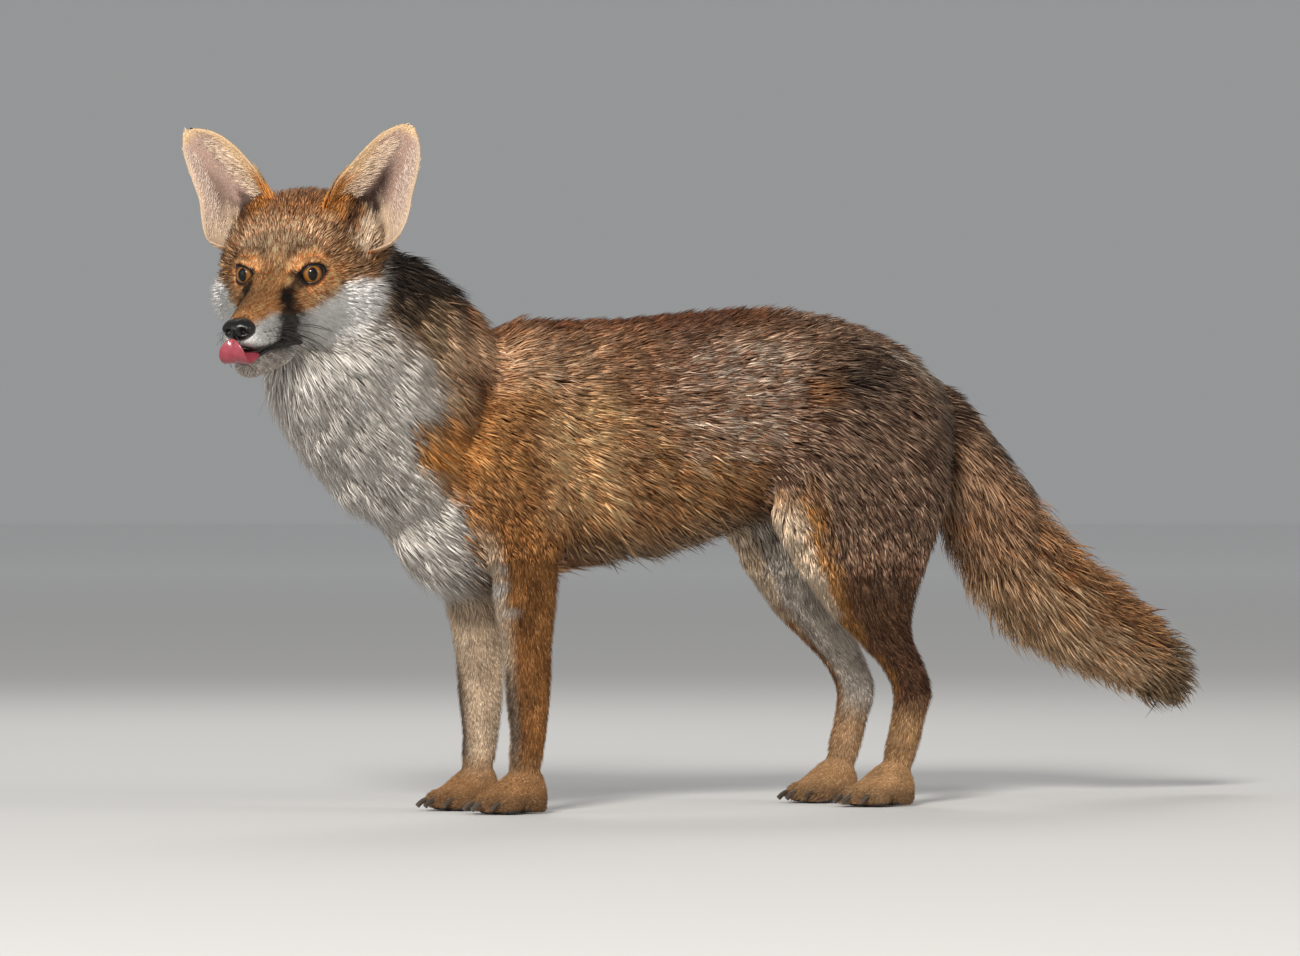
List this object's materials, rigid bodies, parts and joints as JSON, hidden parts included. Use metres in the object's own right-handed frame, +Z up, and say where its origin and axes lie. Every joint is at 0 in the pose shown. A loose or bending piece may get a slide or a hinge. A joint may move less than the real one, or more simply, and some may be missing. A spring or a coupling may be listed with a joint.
{
  "type": "red fox",
  "caption": "Life-size still model of a standing red fox, head turned to its left, tongue curled to its nose and bushy tail trailing behind.",
  "frame": {"origin": "middle of the underside of the whole model's box, on the floor between the paws", "axes": "+X towards the tail, -X the way the body faces, +Y the fox's right side, +Z up"},
  "size_m": [0.9956, 0.235, 0.534],
  "materials": {
    "eye_left": "wet gloss",
    "eye_right": "wet gloss",
    "nose": "moist, finely pebbled",
    "tongue": "wet satin",
    "lower_jaw": "short soft fur",
    "ear_left": "short fur, downy inside",
    "ear_right": "short fur, downy inside",
    "head": "short soft fur",
    "forepaw_left": "short soft fur",
    "forepaw_right": "short soft fur",
    "hindpaw_left": "short soft fur",
    "hindpaw_right": "short soft fur",
    "foreleg_left": "short soft fur",
    "foreleg_right": "short soft fur",
    "hindleg_left": "soft fur",
    "hindleg_right": "soft fur",
    "torso": "soft grizzled fur",
    "neck": "long soft fur in locks",
    "tail": "long soft fur in locks"
  },
  "bodies": {
    "root": {"eye_left": "eye_left", "eye_right": "eye_right", "nose": "nose", "tongue": "tongue", "lower_jaw": "lower_jaw", "ear_left": "ear_left", "ear_right": "ear_right", "head": "head", "forepaw_left": "forepaw_left", "forepaw_right": "forepaw_right", "hindpaw_left": "hindpaw_left", "hindpaw_right": "hindpaw_right", "foreleg_left": "foreleg_left", "foreleg_right": "foreleg_right", "hindleg_left": "hindleg_left", "hindleg_right": "hindleg_right", "torso": "torso", "neck": "neck", "tail": "tail"}
  },
  "joints": []
}
